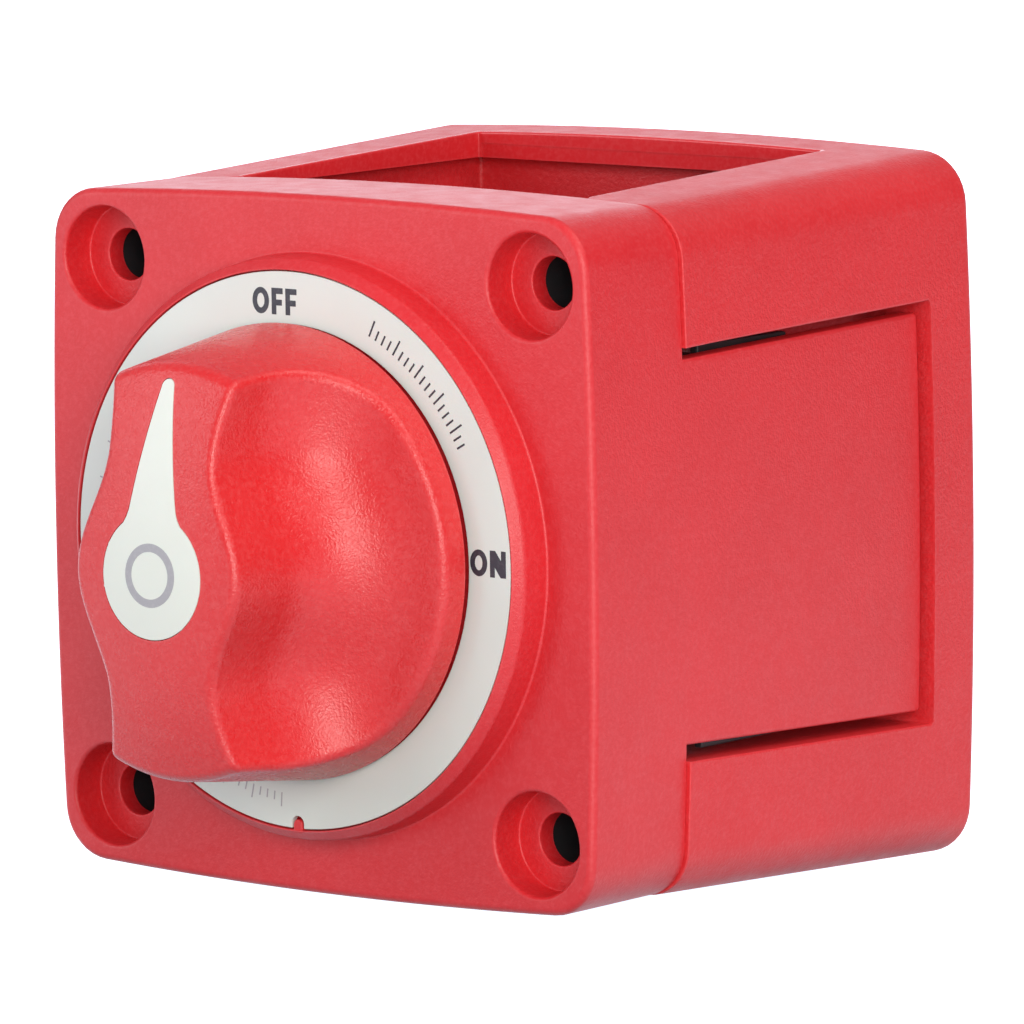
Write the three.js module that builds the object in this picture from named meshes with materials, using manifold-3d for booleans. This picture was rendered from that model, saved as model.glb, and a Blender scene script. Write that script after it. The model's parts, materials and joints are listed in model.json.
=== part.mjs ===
// Surface-mount battery switch: square red housing, round turning knob, box-shaped rear cover.
// Units are millimetres. +Z is up and the knob faces -Y. The pieces are modelled with the front
// plate's face at y = 0, and the whole group is then moved so that the rear face lies at y = 0.
import * as THREE from 'three';
import { mergeVertices } from 'three/addons/utils/BufferGeometryUtils.js';
import Module from 'manifold-3d';

const wasm = await Module();
wasm.setup();

// ---- driving dimensions ------------------------------------------------------------------
const DEPTH = 60.8; // front plate face to rear face
const GAP = 0.3; // clearance between neighbouring pieces

const PLATE_SIZE = 69.3; // width and height of the front plate
const CROWN = 1.0; // how far each side bows out at its middle
const CORNER_RADIUS = 5.4;
const FRONT_EDGE = 0.6; // chamfer round the front plate
const HOUSING_DEPTH = 14.6; // plate face to the seam with the rear cover
const FACE_WALL = 3;
const SKIRT_WALL = 2.5;

const SIDE_PLATE = { end: 52.8, frontHalf: 18.85, rearHalf: 20.15, wall: 2.4 };

const COVER_FRONT_HALF = { x: 35.15, z: 34.62 }; // half width of the rear cover at the seam
const COVER_REAR_HALF = { x: 36.3, z: 36.6 };
const COVER_REAR_EDGE = 0.9;
const CHAMBER_END = 53.6; // inner face of the cover's rear wall
const REAR_WALL = 2.8;
const OPENING_HALF = 22.2; // half width of the cable openings
const SIDE_WINDOW = { frontHalf: 20.2, rearHalf: 21.4, end: 53.5 };

const HOLE_SPACING = 54.2; // mounting holes, square pattern
const HOLE_RADIUS = 2.6;
const COUNTERBORE = { radius: 5.15, depth: 3.8, web: 2.1 }; // web: wall behind the counterbore

const BEZEL = { foot: 28.9, shoulder: 28.7, wallTop: 3.05, rimRadius: 27.6, rimTop: 4.0, seat: 2.9 };
const LABEL = { outer: 27.35, inner: 19.6, back: 3.2, front: 3.8 };
const KEY_WIDTH = 1.1;
const KEY_HEIGHT = 1.15;

const KNOB = { baseRadius: 22.5, base: 4.6, rimRadius: 20.1, top: 25.05, dome: 52.5 };
const GRIP = { half: 6.85, bulge: 3.5, bulgeEnd: 11.8, flare: 1.25, flareStart: 11.5, flareLength: 7.5 };
const SCOOP_FLOOR = { x: 13.5, y: -8.3, slope: 0.1 };
const INSERT = { radius: 6.15, depth: 0.9, tip: 18.7, tipHalf: 0.78, rootHalf: 3.3, clearance: 0.3 };
const HUB_RADIUS = 8.6;
const BORE_RADIUS = 9.0;

const CHAMBER_RADIUS = 24; // round room for the mechanism inside the housing
const TRAVEL = 2.5; // contact carrier's lift over a quarter turn
const STUD = { x: 13, z: 15.5, radius: 4.85, end: 43 };
const BASE = { front: 14.9, back: 21 };
const BASE_SCREW = { x: 17.5, z: 26, radius: 1.5 };

const SIDES_ROUND = 40;
const SIDES_DIAL = 56; // bezel, label ring and knob
const SIDES_SMALL = 20;

// ---- materials -----------------------------------------------------------------------------
const plastic = (color, roughness) => new THREE.MeshStandardMaterial({ color, roughness, metalness: 0 });
const metal = (color, roughness) => new THREE.MeshStandardMaterial({ color, roughness, metalness: 1 });
const MATERIAL = {
  housing: plastic(0xd8323a, 0.45),
  cover: plastic(0xd5323a, 0.5),
  knob: plastic(0xde343c, 0.35),
  label: plastic(0xe6e5df, 0.55),
  insert: plastic(0xecece8, 0.4),
  mechanism: plastic(0x24262a, 0.5),
  seal: plastic(0x161616, 0.8),
  copper: metal(0xb87545, 0.35),
  tin: metal(0xb9b9b4, 0.35),
  steel: metal(0xc4c6c8, 0.25),
};

// ---- geometry helpers ----------------------------------------------------------------------
function solid(geometry) {
  const bare = geometry.index ? geometry.clone() : geometry;
  bare.deleteAttribute('normal');
  bare.deleteAttribute('uv');
  const merged = mergeVertices(bare, 1e-4);
  return new wasm.Manifold(new wasm.Mesh({
    numProp: 3,
    vertProperties: new Float32Array(merged.attributes.position.array),
    triVerts: new Uint32Array(merged.index.array),
  }));
}

function toMesh(name, body, material) {
  const data = body.getMesh();
  const geometry = new THREE.BufferGeometry();
  geometry.setAttribute('position', new THREE.BufferAttribute(new Float32Array(data.vertProperties), 3));
  geometry.setIndex(new THREE.BufferAttribute(new Uint32Array(data.triVerts), 1));
  geometry.computeVertexNormals();
  const mesh = new THREE.Mesh(geometry, material);
  mesh.name = name;
  return mesh;
}

// Closed skin through outlines that share one point count. Each section is { y, points }, with
// points as [x, z] running anticlockwise as seen from the front (from -Y).
function loft(sections) {
  const count = sections[0].points.length;
  const positions = [];
  for (const { y, points } of sections) {
    for (const [x, z] of points) positions.push(x, y, z);
  }
  const index = [];
  for (let s = 0; s + 1 < sections.length; s += 1) {
    for (let i = 0; i < count; i += 1) {
      const a = s * count + i;
      const b = s * count + ((i + 1) % count);
      index.push(a, a + count, b, b, a + count, b + count);
    }
  }
  const cap = THREE.ShapeUtils.triangulateShape(
    sections[0].points.map(([x, z]) => new THREE.Vector2(x, z)), []);
  const last = (sections.length - 1) * count;
  for (const [a, b, c] of cap) {
    index.push(a, b, c);
    index.push(last + a, last + c, last + b);
  }
  const geometry = new THREE.BufferGeometry();
  geometry.setAttribute('position', new THREE.Float32BufferAttribute(positions, 3));
  geometry.setIndex(index);
  return solid(geometry);
}

// Rounded square whose four sides bow out by crown.
function crownedOutline(halfX, halfZ, crown, radius) {
  const sideSteps = 6;
  const cornerSteps = 5;
  const points = [];
  for (let quarter = 0; quarter < 4; quarter += 1) {
    const along = quarter % 2 === 0 ? halfZ : halfX;
    const out = quarter % 2 === 0 ? halfX : halfZ;
    const turn = (quarter * Math.PI) / 2;
    const place = (u, v) => points.push([
      u * Math.cos(turn) - v * Math.sin(turn),
      u * Math.sin(turn) + v * Math.cos(turn),
    ]);
    const bow = (t, half) => crown * (t / half) ** 2;
    for (let i = 0; i <= sideSteps; i += 1) {
      const v = (along - radius) * ((2 * i) / sideSteps - 1);
      place(out - bow(v, along), v);
    }
    const centreU = out - bow(along - radius, along) - radius;
    const centreV = along - bow(out - radius, out) - radius;
    for (let i = 1; i < cornerSteps; i += 1) {
      const a = (i / cornerSteps) * (Math.PI / 2);
      place(centreU + radius * Math.cos(a), centreV + radius * Math.sin(a));
    }
  }
  return points;
}

const rectangle = (x0, x1, z0, z1) => [[x1, z0], [x1, z1], [x0, z1], [x0, z0]];

function box(x0, x1, y0, y1, z0, z1) {
  return loft([{ y: y0, points: rectangle(x0, x1, z0, z1) }, { y: y1, points: rectangle(x0, x1, z0, z1) }]);
}

// Round bar along Y.
function bar(radius, y0, y1, x = 0, z = 0, sides = SIDES_SMALL) {
  const geometry = new THREE.CylinderGeometry(radius, radius, y1 - y0, sides);
  geometry.translate(x, (y0 + y1) / 2, z);
  return solid(geometry);
}

// Body turned about the knob's axis from [radius, y] points that run from front to back.
function turned(profile, sides = SIDES_ROUND) {
  return solid(new THREE.LatheGeometry(profile.map(([r, y]) => new THREE.Vector2(r, y)), sides));
}

function extrudedAlongY(shape, y0, y1, curveSegments = 8) {
  const geometry = new THREE.ExtrudeGeometry(shape, { depth: y1 - y0, bevelEnabled: false, curveSegments });
  geometry.rotateX(Math.PI / 2);
  geometry.translate(0, y1, 0);
  return solid(geometry);
}

const union = (first, ...rest) => rest.reduce((sum, piece) => sum.add(piece), first);
const cut = (first, ...rest) => rest.reduce((left, piece) => left.subtract(piece), first);
const corners = (x, z) => [[-x, z], [x, z], [-x, -z], [x, -z]];
const holes = corners(HOLE_SPACING / 2, HOLE_SPACING / 2);
const half = PLATE_SIZE / 2;

// ---- front housing: plate, skirt, bezel, side plates ------------------------------------------
function sidePlateOutline(side, halfHeight, outer) {
  const steps = 6;
  const points = [];
  for (let i = 0; i <= steps; i += 1) {
    const z = halfHeight * ((2 * i) / steps - 1);
    points.push([outer - CROWN * (z / half) ** 2, z]);
  }
  points.push([half - SIDE_PLATE.wall, halfHeight], [half - SIDE_PLATE.wall, -halfHeight]);
  return side > 0 ? points : points.map(([x, z]) => [-x, z]).reverse();
}

function frontHousing() {
  const outline = (inset) => crownedOutline(half - inset, half - inset, CROWN, CORNER_RADIUS - inset);
  const shell = loft([
    { y: 0, points: outline(FRONT_EDGE) },
    { y: FRONT_EDGE, points: outline(0) },
    { y: HOUSING_DEPTH, points: outline(0) },
  ]);
  const hollow = loft([
    { y: FACE_WALL, points: outline(SKIRT_WALL) },
    { y: HOUSING_DEPTH + 1, points: outline(SKIRT_WALL) },
  ]);
  const mechanismWall = cut(
    bar(CHAMBER_RADIUS + 1.6, 1, HOUSING_DEPTH, 0, 0, SIDES_ROUND),
    bar(CHAMBER_RADIUS, 0, HOUSING_DEPTH + 1, 0, 0, SIDES_ROUND),
  );
  const bezel = turned([
    [0, -BEZEL.seat], [BEZEL.rimRadius, -BEZEL.seat], [BEZEL.rimRadius, -BEZEL.rimTop],
    [BEZEL.shoulder, -BEZEL.wallTop], [BEZEL.foot, 0], [BEZEL.foot, 1], [0, 1],
  ], SIDES_DIAL);
  let body = union(cut(shell, hollow), bezel);
  body = union(body, mechanismWall);
  for (const [x, z] of holes) {
    body = union(body, bar(COUNTERBORE.radius + 1.7, 1, HOUSING_DEPTH, x, z));
  }
  for (const [x, z] of corners(BASE_SCREW.x, BASE_SCREW.z)) {
    body = union(body, bar(BASE_SCREW.radius + 2, 1, HOUSING_DEPTH, x, z));
  }
  for (const side of [-1, 1]) {
    body = union(body, loft([
      { y: HOUSING_DEPTH - 8, points: sidePlateOutline(side, SIDE_PLATE.frontHalf, half) },
      { y: HOUSING_DEPTH, points: sidePlateOutline(side, SIDE_PLATE.frontHalf, half) },
      { y: SIDE_PLATE.end, points: sidePlateOutline(side, SIDE_PLATE.rearHalf, half + 0.3) },
    ]));
  }
  // room for the mechanism, reaching up inside the bezel, and the knob's bore
  body = cut(body, bar(CHAMBER_RADIUS, 0, HOUSING_DEPTH + 1, 0, 0, SIDES_ROUND),
    bar(BORE_RADIUS, -BEZEL.seat - 2, 1, 0, 0, 32));
  for (const [x, z] of holes) {
    body = cut(body, bar(COUNTERBORE.radius, -1, COUNTERBORE.depth, x, z, 32),
      bar(HOLE_RADIUS, 0, HOUSING_DEPTH + 1, x, z),
      bar(HOLE_RADIUS + 1.7, COUNTERBORE.depth + COUNTERBORE.web, HOUSING_DEPTH + 1, x, z));
  }
  for (const [x, z] of corners(BASE_SCREW.x, BASE_SCREW.z)) {
    body = cut(body, bar(BASE_SCREW.radius + GAP, 5, HOUSING_DEPTH + 1, x, z, 12));
  }
  // detent notches in the wall of the mechanism's room, a quarter turn apart
  for (const [x, z] of [[0, CHAMBER_RADIUS], [0, -CHAMBER_RADIUS], [CHAMBER_RADIUS, 0], [-CHAMBER_RADIUS, 0]]) {
    body = cut(body, bar(1, 0, CARRIER.front - 2.6, x, z, 12));
  }
  // guide ribs that stop the contact carrier from turning
  for (const side of [-1, 1]) {
    const x = side * (CHAMBER_RADIUS - 0.9);
    body = union(body, box(x - 1.3, x + 1.3, CARRIER.front, HOUSING_DEPTH, -1.5, 1.5));
  }
  return union(body, indexKey());
}

function keyShape(halfWidth, height) {
  const shape = new THREE.Shape();
  const foot = -(BEZEL.rimRadius + 0.3);
  const shoulder = -BEZEL.rimRadius + height - halfWidth;
  shape.moveTo(-halfWidth, foot);
  shape.lineTo(halfWidth, foot);
  shape.lineTo(halfWidth, shoulder);
  shape.absarc(0, shoulder, halfWidth, 0, Math.PI, false);
  return shape;
}

// Small arch-topped key at the bottom of the bezel, which the label ring's notch fits.
function indexKey() {
  return extrudedAlongY(keyShape(KEY_WIDTH / 2, KEY_HEIGHT), -LABEL.front, -BEZEL.seat + 0.5, 6);
}

// ---- rear cover ---------------------------------------------------------------------------------
function rearCover() {
  const grow = (y) => (y - HOUSING_DEPTH) / (DEPTH - HOUSING_DEPTH);
  const outline = (y, inset = 0) => crownedOutline(
    THREE.MathUtils.lerp(COVER_FRONT_HALF.x, COVER_REAR_HALF.x, grow(y)) - inset,
    THREE.MathUtils.lerp(COVER_FRONT_HALF.z, COVER_REAR_HALF.z, grow(y)) - inset,
    CROWN, CORNER_RADIUS - inset);
  const front = HOUSING_DEPTH + GAP;
  const shell = loft([
    { y: front, points: outline(front, 0.3) },
    { y: front + 0.5, points: outline(front + 0.5) },
    { y: DEPTH - COVER_REAR_EDGE, points: outline(DEPTH - COVER_REAR_EDGE) },
    { y: DEPTH, points: outline(DEPTH, COVER_REAR_EDGE) },
  ]);
  const far = COVER_REAR_HALF.z + 5;
  const cableSlot = box(-OPENING_HALF, OPENING_HALF, front - 1, CHAMBER_END, -far, far);
  const windowOutline = (halfHeight) => rectangle(-far, far, -halfHeight, halfHeight);
  const sideWindows = loft([
    { y: front - 1, points: windowOutline(SIDE_WINDOW.frontHalf) },
    { y: SIDE_WINDOW.end, points: windowOutline(SIDE_WINDOW.rearHalf) },
  ]);
  let body = cut(shell, cableSlot, sideWindows);
  body = cut(body, rearRecess());
  for (const [x, z] of holes) body = cut(body, bar(HOLE_RADIUS, front - 1, DEPTH + 1, x, z));
  return body;
}

// Coring of the rear wall from behind: four pockets between a rim, a cross rib and a round pad.
function rearRecess() {
  const start = CHAMBER_END + REAR_WALL;
  const inner = COVER_REAR_HALF.x - 3.4;
  const rib = 1.4;
  const padRadius = 9;
  let pockets = loft([
    { y: start, points: crownedOutline(inner, inner, CROWN, 4) },
    { y: DEPTH + 1, points: crownedOutline(inner, inner, CROWN, 4) },
  ]);
  pockets = cut(pockets, box(-rib, rib, start - 1, DEPTH + 2, -40, 40),
    box(-40, 40, start - 1, DEPTH + 2, -rib, rib), bar(padRadius, start - 1, DEPTH + 2, 0, 0, 32));
  for (const [x, z] of holes) {
    pockets = cut(pockets, bar(HOLE_RADIUS + 4, start - 1, DEPTH + 2, x, z));
  }
  return pockets;
}

// ---- label ring -----------------------------------------------------------------------------------
function labelRing() {
  const ring = turned([
    [LABEL.inner, -LABEL.front], [LABEL.outer, -LABEL.front], [LABEL.outer, -LABEL.back],
    [LABEL.inner, -LABEL.back], [LABEL.inner, -LABEL.front],
  ], SIDES_DIAL);
  return cut(ring, extrudedAlongY(keyShape(KEY_WIDTH / 2 + GAP, KEY_HEIGHT + GAP), -5, -2, 6));
}

// ---- knob and insert ------------------------------------------------------------------------------
// Front surface of the knob: a shallow dome, lowered by sink.
function domeProfile(sink, outerRadius) {
  const steps = 5;
  const centre = -KNOB.top + KNOB.dome;
  const radius = KNOB.dome - sink;
  const points = [];
  for (let i = 0; i <= steps; i += 1) {
    const r = (outerRadius * i) / steps;
    points.push([r, centre - Math.sqrt(radius ** 2 - r ** 2)]);
  }
  return points;
}

// Half width of the grip bar: a bulge round the insert, a neck, and a slight flare at the ends.
function gripHalf(z) {
  const away = Math.abs(z);
  const swell = 0.5 * (1 + Math.cos((Math.PI * Math.min(away, GRIP.bulgeEnd)) / GRIP.bulgeEnd));
  const past = Math.max(away - GRIP.flareStart, 0) / GRIP.flareLength;
  return GRIP.half + GRIP.bulge * swell + GRIP.flare * past ** 2;
}

// Space scooped out beside the grip bar for the fingers.
function fingerScoop(side) {
  const outer = 27;
  const step = 2.5;
  const sections = [];
  for (let z = -25; z <= 25; z += step) {
    const wall = gripHalf(z);
    const curve = new THREE.QuadraticBezierCurve(new THREE.Vector2(wall, -KNOB.top + 2),
      new THREE.Vector2(wall + 1.0, SCOOP_FLOOR.y - 1.2), new THREE.Vector2(SCOOP_FLOOR.x, SCOOP_FLOOR.y));
    const profile = [[outer, -32], [wall - 0.4, -32], ...curve.getPoints(6).map((p) => [p.x, p.y]),
      [outer, SCOOP_FLOOR.y + SCOOP_FLOOR.slope * (outer - SCOOP_FLOOR.x)]];
    sections.push({ y: z, points: profile.map(([x, y]) => [x, -y]) });
  }
  // lofted along Y first, then turned so that the sweep runs along Z
  const upright = loft(sections).rotate([90, 0, 0]);
  return side > 0 ? upright : upright.mirror([1, 0, 0]);
}

function knob() {
  const outer = turned([
    ...domeProfile(0, KNOB.rimRadius), [KNOB.baseRadius, -KNOB.base], [0, -KNOB.base],
  ], SIDES_DIAL);
  const scooped = cut(outer, fingerScoop(1), fingerScoop(-1));
  const under = -KNOB.base - 1.3;
  let body = cut(scooped, bar(KNOB.baseRadius - 2.4, under, -KNOB.base + 1, 0, 0, SIDES_ROUND));
  for (const side of [-1, 1]) {
    const [z0, z1] = side > 0 ? [10, 17.5] : [-17.5, -10];
    body = cut(body, box(-4.4, 4.4, -20.5, -KNOB.base + 1, z0, z1));
  }
  body = union(body, bar(HUB_RADIUS, under - 1, 0, 0, 0, 32));
  const seal = SHAFT_SEAL;
  const groove = cut(bar(HUB_RADIUS + 1, seal.y - 1.1, seal.y + 1.1, 0, 0, 32),
    bar(seal.radius - seal.tube - GAP, seal.y - 2, seal.y + 2, 0, 0, 32));
  body = cut(body, groove, bar(1.8, -10, 1, 0, 0, 16));
  return cut(body, insertSolid(INSERT.clearance));
}

function insertShape(grow) {
  const radius = INSERT.radius + grow;
  const root = INSERT.rootHalf + grow;
  const tip = INSERT.tipHalf + grow;
  const shape = new THREE.Shape();
  const rootAngle = Math.acos(root / radius);
  shape.moveTo(root, radius * Math.sin(rootAngle));
  shape.lineTo(tip, INSERT.tip - INSERT.tipHalf);
  shape.absarc(0, INSERT.tip - INSERT.tipHalf, tip, 0, Math.PI, false);
  shape.lineTo(-root, radius * Math.sin(rootAngle));
  shape.absarc(0, 0, radius, Math.PI - rootAngle, 2 * Math.PI + rootAngle, false);
  return shape;
}

// Disc and pointer under the knob's dome; grow widens and deepens it to make its pocket.
function insertSolid(grow) {
  const lift = grow > 0 ? 1 : 0;
  const shapeBar = extrudedAlongY(insertShape(grow), -KNOB.top - 2, -KNOB.top + 8, 8);
  const profile = [...domeProfile(-lift, 20), [20, 5], [0, 5]];
  const below = [...domeProfile(INSERT.depth + grow, 21), [21, 6], [0, 6]];
  return cut(shapeBar.intersect(turned(profile, SIDES_DIAL)), turned(below, SIDES_DIAL));
}

// ---- mechanism --------------------------------------------------------------------------------------
const SHAFT_SEAL = { y: -1.5, radius: 8.0, tube: 0.8 };
const ROTOR = { front: 0.4, back: 2.2, toothBack: 4.7, reach: 20.5, halfWidth: 4.5 };
const CARRIER = { front: 5.0, back: 7.6, radius: 22.4 };
const BRIDGE = { front: 9.9, back: 12.4 };
const DETENT = { ball: 1.4, radius: 22.45, y: 2.2 };

function shaftSeal() {
  const points = [];
  const sides = 10;
  for (let i = 0; i <= sides; i += 1) {
    const a = (2 * Math.PI * i) / sides;
    points.push([SHAFT_SEAL.radius + SHAFT_SEAL.tube * Math.cos(a), SHAFT_SEAL.y + SHAFT_SEAL.tube * Math.sin(a)]);
  }
  points[sides] = points[0];
  return turned(points, 32);
}

// Bar fixed behind the knob's hub; its two teeth press on the carrier's ramps, and a detent ball
// sits in each end.
function rotor() {
  const { front, back, toothBack, reach, halfWidth } = ROTOR;
  const end = back + 1.5;
  let body = union(
    box(-halfWidth, halfWidth, front, back, -reach, reach),
    bar(9.5, front, back, 0, 0, 32),
  );
  for (const side of [-1, 1]) {
    const [z0, z1] = side > 0 ? [12, 18] : [-18, -12];
    body = union(body, box(-1, 1, back - 0.2, toothBack, z0, z1));
    const [e0, e1] = side > 0 ? [18.6, 21.4] : [-21.4, -18.6];
    body = union(body, box(-halfWidth, halfWidth, front, end, e0, e1));
    body = cut(body, detentBore(side));
  }
  return cut(body, bar(2.1, -1, back + 1, 0, 0, 16));
}

const alongZ = (geometry, side, distance) => {
  geometry.rotateX(Math.PI / 2);
  geometry.translate(0, DETENT.y, side * distance);
  return solid(geometry);
};

function detentBore(side) {
  return alongZ(new THREE.CylinderGeometry(1.65, 1.65, 9, 12), side, 21);
}

function detentBall(side) {
  const ball = new THREE.SphereGeometry(DETENT.ball, 14, 10);
  ball.translate(0, DETENT.y, side * DETENT.radius);
  return solid(ball);
}

function detentSpring(side) {
  const long = 3.8;
  const middle = 16.8 + long / 2;
  return cut(
    alongZ(new THREE.CylinderGeometry(1.2, 1.2, long, 12), side, middle),
    alongZ(new THREE.CylinderGeometry(0.7, 0.7, long + 1, 12), side, middle),
  );
}

function rotorScrew() {
  return union(bar(3.4, ROTOR.back + GAP, ROTOR.back + 2.2, 0, 0, SIDES_SMALL),
    bar(1.5, -7, ROTOR.back + 1, 0, 0, 12));
}

// Stepped ramp that rises towards the front over a quarter turn, always just clear of the rotor's
// tooth. Angles are in degrees from +Z towards +X.
function ramp(start) {
  const inner = 11.5;
  const outer = 18.5;
  const end = 94;
  const steps = 5;
  const angles = Array.from({ length: steps }, (_, k) => (k + 1) * (90 / steps) - 4);
  const at = (radius, angle) => {
    const a = THREE.MathUtils.degToRad(start + angle);
    return [radius * Math.sin(a), radius * Math.cos(a)];
  };
  const blocks = angles.map((from, k) => {
    const spanned = [...angles.slice(k), end];
    const points = [...spanned.map((a) => at(inner, a)), ...spanned.map((a) => at(outer, a)).reverse()];
    const lift = ((k + 1) * TRAVEL) / steps;
    return loft([{ y: CARRIER.front - lift, points }, { y: CARRIER.front + 1, points }]);
  });
  return union(...blocks);
}

function contactCarrier() {
  let body = bar(CARRIER.radius, CARRIER.front, CARRIER.back, 0, 0, SIDES_ROUND);
  for (const start of [0, 180]) body = union(body, ramp(start));
  for (const side of [-1, 1]) {
    const x = side * (CHAMBER_RADIUS - 0.9);
    body = cut(body, box(x - 1.7, x + 1.7, 0, 12, -1.9, 1.9));
  }
  return cut(body, bar(4.2, 0, 12, 0, 0, 24));
}

function contactBridge(side) {
  const x = side * STUD.x;
  const blade = box(x - 5.5, x + 5.5, BRIDGE.front, BRIDGE.back, -16.9, 16.9);
  return blade.intersect(bar(CHAMBER_RADIUS - 1, 0, 20, 0, 0, SIDES_ROUND));
}

function bridgeSpring(side, end) {
  const x = side * STUD.x;
  const z = end * 9;
  return cut(bar(3.4, CARRIER.back + 0.1, BRIDGE.front - 0.1, x, z, 16),
    bar(2.5, CARRIER.back - 1, BRIDGE.front + 1, x, z, 16));
}

// Moulded base that closes the housing and carries the studs, with a rib between the two circuits.
function contactBase() {
  const wideHalf = half - SIDE_PLATE.wall - 1;
  let body = union(
    box(-OPENING_HALF + GAP, OPENING_HALF - GAP, BASE.front, BASE.back, -30.5, 30.5),
    box(-wideHalf, wideHalf, BASE.front, BASE.back, -19, 19),
    box(-1.2, 1.2, BASE.back - 1, BASE.back + 9, -26, 26),
  );
  for (const [x, z] of corners(STUD.x, STUD.z)) {
    body = union(body, bar(7.6, BASE.back - 1, BASE.back + 1, x, z, 24));
    body = cut(body, bar(STUD.radius + GAP, 10, 30, x, z, 24),
      box(x - 6.8, x + 6.8, 10, BASE.front + 3.4, z - 6.8, z + 6.8));
  }
  for (const [x, z] of corners(BASE_SCREW.x, BASE_SCREW.z)) {
    body = cut(body, bar(BASE_SCREW.radius + GAP, 10, 30, x, z, 12));
  }
  return body;
}

function baseScrew(x, z) {
  return union(bar(2.9, BASE.back + GAP, BASE.back + 2.3, x, z, 16),
    bar(BASE_SCREW.radius, 6, BASE.back + 1, x, z, 12));
}

// ---- terminal studs -----------------------------------------------------------------------------------
const SEAT = BASE.back + 1 + GAP;

function stud(x, z) {
  const head = box(x - 6.4, x + 6.4, BRIDGE.back + TRAVEL + GAP, BASE.front + 3.1, z - 6.4, z + 6.4);
  const shank = bar(STUD.radius, BASE.front + 2, STUD.end - 1, x, z, 24);
  const tip = new THREE.CylinderGeometry(STUD.radius, STUD.radius - 1, 1, 24);
  tip.rotateX(Math.PI);
  tip.translate(x, STUD.end - 0.5, z);
  return union(head, shank, solid(tip));
}

function washer(x, z) {
  return cut(bar(8.4, SEAT, SEAT + 1.6, x, z, 28), bar(STUD.radius + GAP, SEAT - 1, SEAT + 3, x, z, 24));
}

function nut(x, z) {
  const y0 = SEAT + 1.6 + GAP;
  const hex = new THREE.CylinderGeometry(9.2, 9.2, 7, 6);
  hex.translate(x, y0 + 3.5, z);
  return cut(solid(hex), bar(STUD.radius + GAP, y0 - 1, y0 + 9, x, z, 24));
}

// ---- assembly ---------------------------------------------------------------------------------------------
const batterySwitch = new THREE.Group();
const add = (name, body, material) => batterySwitch.add(toMesh(name, body, MATERIAL[material]));

add('front_housing', frontHousing(), 'housing');
add('rear_cover', rearCover(), 'cover');
add('label_ring', labelRing(), 'label');
add('knob', knob(), 'knob');
add('pointer_insert', insertSolid(0), 'insert');
add('shaft_seal', shaftSeal(), 'seal');
add('rotor', rotor(), 'mechanism');
add('rotor_screw', rotorScrew(), 'steel');
[['upper', 1], ['lower', -1]].forEach(([place, side]) => {
  add(`detent_ball_${place}`, detentBall(side), 'steel');
  add(`detent_spring_${place}`, detentSpring(side), 'steel');
});
add('contact_carrier', contactCarrier(), 'mechanism');
[['left', -1], ['right', 1]].forEach(([place, side]) => {
  add(`contact_bridge_${place}`, contactBridge(side), 'copper');
  add(`bridge_spring_${place}_upper`, bridgeSpring(side, 1), 'steel');
  add(`bridge_spring_${place}_lower`, bridgeSpring(side, -1), 'steel');
});
add('contact_base', contactBase(), 'mechanism');
corners(STUD.x, STUD.z).forEach(([x, z], i) => {
  add(`stud_${i + 1}`, stud(x, z), 'tin');
  add(`stud_washer_${i + 1}`, washer(x, z), 'steel');
  add(`stud_nut_${i + 1}`, nut(x, z), 'steel');
});
corners(BASE_SCREW.x, BASE_SCREW.z).forEach(([x, z], i) => {
  add(`base_screw_${i + 1}`, baseScrew(x, z), 'steel');
});

batterySwitch.position.y = -DEPTH;

export default batterySwitch;
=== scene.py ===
"""Surface-mount battery switch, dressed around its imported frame.

Shapes are built in millimetres about the centre of the front plate's face, with +X to the right, +Y to
the rear and +Z up, and are brought into the frame, in metres, when each piece is finished.
"""
import json
import math

import bmesh
import bpy
import numpy as np
from mathutils import Matrix, Vector


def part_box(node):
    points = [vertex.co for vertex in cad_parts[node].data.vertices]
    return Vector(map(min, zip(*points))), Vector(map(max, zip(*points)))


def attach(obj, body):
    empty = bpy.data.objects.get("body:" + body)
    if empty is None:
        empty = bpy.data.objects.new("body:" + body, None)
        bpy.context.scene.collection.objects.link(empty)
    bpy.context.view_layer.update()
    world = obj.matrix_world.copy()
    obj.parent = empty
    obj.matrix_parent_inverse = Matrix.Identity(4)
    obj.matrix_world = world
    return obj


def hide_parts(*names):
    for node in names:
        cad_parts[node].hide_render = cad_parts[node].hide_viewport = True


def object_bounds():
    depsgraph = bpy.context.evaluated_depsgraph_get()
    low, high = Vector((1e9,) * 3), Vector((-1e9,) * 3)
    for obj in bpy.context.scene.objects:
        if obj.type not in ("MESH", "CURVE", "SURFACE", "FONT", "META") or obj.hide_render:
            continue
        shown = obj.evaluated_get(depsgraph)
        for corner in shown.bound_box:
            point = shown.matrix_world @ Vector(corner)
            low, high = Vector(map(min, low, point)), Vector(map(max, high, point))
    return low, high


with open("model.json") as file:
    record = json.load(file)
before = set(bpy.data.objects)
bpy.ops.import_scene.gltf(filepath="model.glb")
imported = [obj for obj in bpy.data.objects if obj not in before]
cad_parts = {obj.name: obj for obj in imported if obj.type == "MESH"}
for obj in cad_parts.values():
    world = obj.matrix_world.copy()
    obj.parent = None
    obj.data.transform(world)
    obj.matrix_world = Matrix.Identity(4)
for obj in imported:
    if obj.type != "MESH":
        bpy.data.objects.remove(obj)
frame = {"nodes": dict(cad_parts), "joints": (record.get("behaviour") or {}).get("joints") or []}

CAD_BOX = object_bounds()

MM = 0.001
PLATE_CENTRE = Vector(next(j for j in frame["joints"] if j["name"] == "knob_turn")["pos_m"])
DEPTH = (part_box("rear_cover")[1].y - PLATE_CENTRE.y) / MM  # plate face to rear face

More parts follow.
